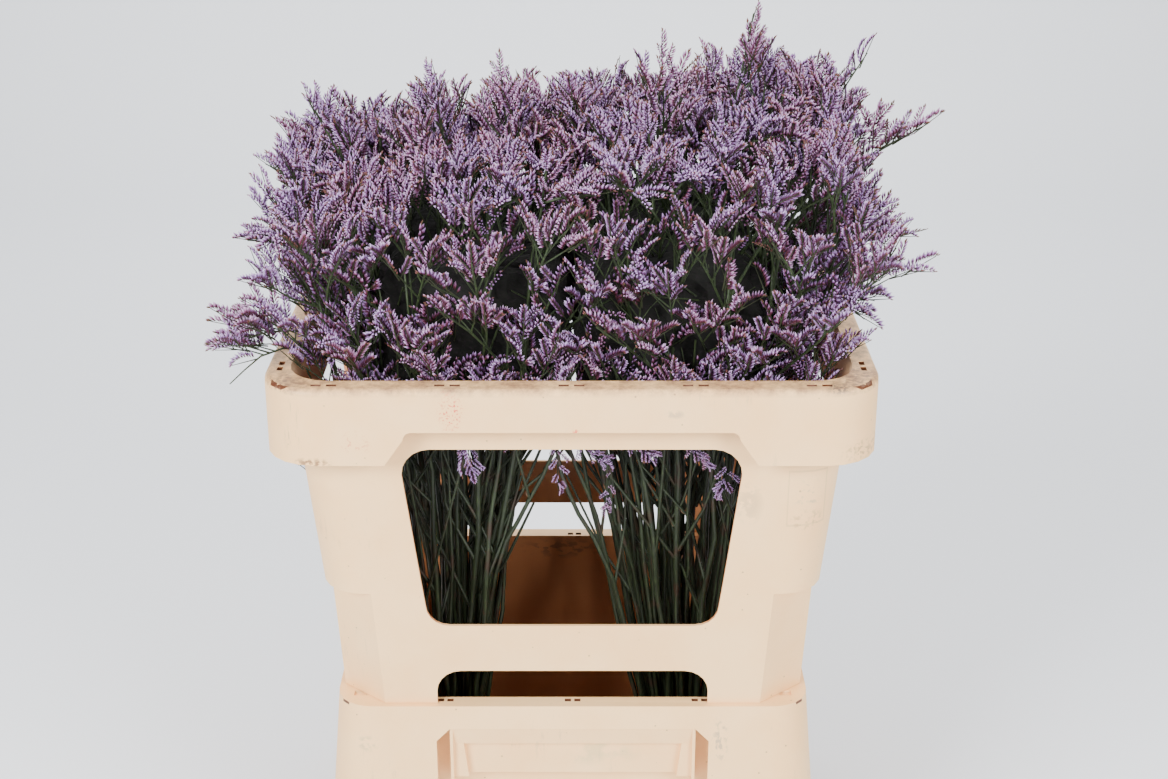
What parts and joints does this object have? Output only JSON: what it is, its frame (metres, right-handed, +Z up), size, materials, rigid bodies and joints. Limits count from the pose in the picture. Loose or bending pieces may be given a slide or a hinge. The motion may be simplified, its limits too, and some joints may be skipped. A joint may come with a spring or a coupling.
{
  "type": "statice in a two-part flower container",
  "caption": "Cut stems of statice with branching sprays of small papery lilac flowers, standing in a plastic bucket under an open windowed collar that keeps the sprays together.",
  "frame": {"origin": "centre of the bucket's underside", "axes": "+Z up along the stems, +X to the right and +Y to the rear as seen from the front"},
  "size_m": [0.5563, 0.4312, 0.7906],
  "materials": {
    "cream_polypropylene": "satin moulded polypropylene, cream",
    "stem_green": "dark green woody plant stem",
    "statice_lilac": "papery lilac florets"
  },
  "bodies": {
    "root": {"bucket": "cream_polypropylene", "collar": "cream_polypropylene", "stems_left_front": "stem_green", "stems_left_middle": "stem_green", "stems_left_rear": "stem_green", "stems_right_front": "stem_green", "stems_right_middle": "stem_green", "stems_right_rear": "stem_green", "sprays_left_front": "statice_lilac", "sprays_left_middle": "statice_lilac", "sprays_left_rear": "statice_lilac", "sprays_right_front": "statice_lilac", "sprays_right_middle": "statice_lilac", "sprays_right_rear": "statice_lilac"}
  },
  "joints": []
}
